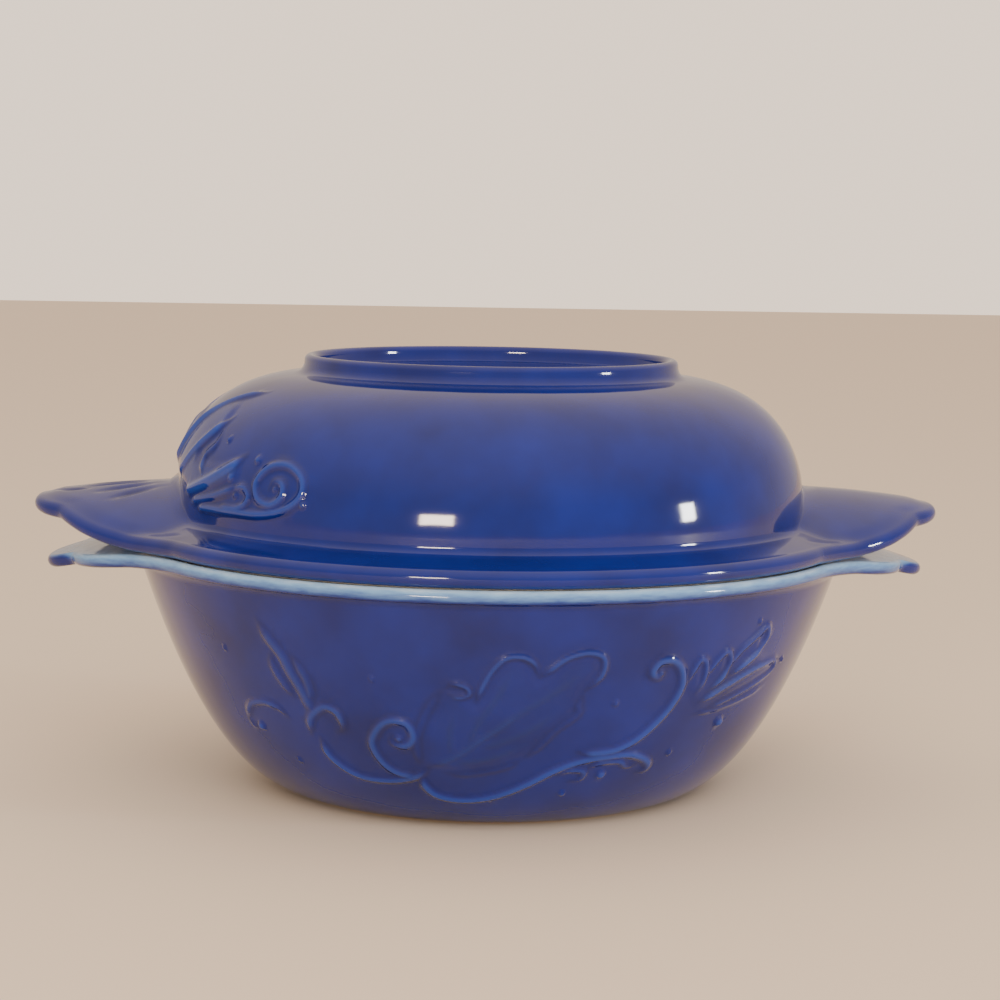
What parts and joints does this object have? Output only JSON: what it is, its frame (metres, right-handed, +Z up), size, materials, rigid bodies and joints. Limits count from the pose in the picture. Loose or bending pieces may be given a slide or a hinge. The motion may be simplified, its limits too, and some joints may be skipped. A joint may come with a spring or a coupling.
{
  "type": "covered casserole dish",
  "caption": "Round covered casserole dish: a deep bowl with flat lobed lugs under an inverted-bowl lid with a foot-ring grip and arched tabs.",
  "frame": {"origin": "centre of the dish's foot, on the surface it stands on", "axes": "+X through a lug, +Y to the back, +Z up"},
  "size_m": [0.282, 0.222, 0.134],
  "materials": {
    "dish_glaze": "glossy deep-blue glaze, white inside",
    "lid_glaze": "glossy deep-blue glaze, white inside"
  },
  "bodies": {
    "dish": {"dish": "dish_glaze"},
    "lid": {"lid": "lid_glaze"}
  },
  "joints": [
    {"name": "lid_lift", "type": "slide", "parent": "dish", "child": "lid", "axis": [0, 0, 1], "range_m": [0, 0.15]}
  ]
}
